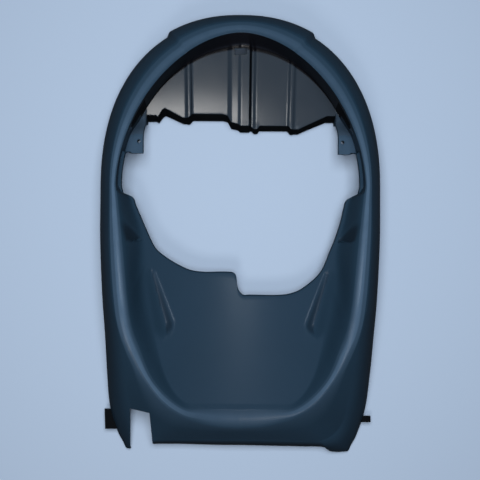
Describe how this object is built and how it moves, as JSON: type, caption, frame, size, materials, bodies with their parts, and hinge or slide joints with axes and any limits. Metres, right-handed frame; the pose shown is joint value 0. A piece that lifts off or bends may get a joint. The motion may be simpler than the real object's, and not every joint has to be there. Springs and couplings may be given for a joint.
{
  "type": "scooter front panel",
  "caption": "Moulded inner leg shield of a small scooter: oval rim, dished leg recess, ribbed recess under the arch and screw tabs.",
  "frame": {"origin": "middle of the length and width, at the lower edge of the rim", "axes": "+Y along the length towards the handlebar, +X across, +Z towards the rider; the panel lies on its back"},
  "size_m": [0.4524, 0.708, 0.1145],
  "materials": {
    "panel_plastic": "fine moulded grain, satin"
  },
  "bodies": {
    "root": {"front_panel": "panel_plastic"}
  },
  "joints": []
}
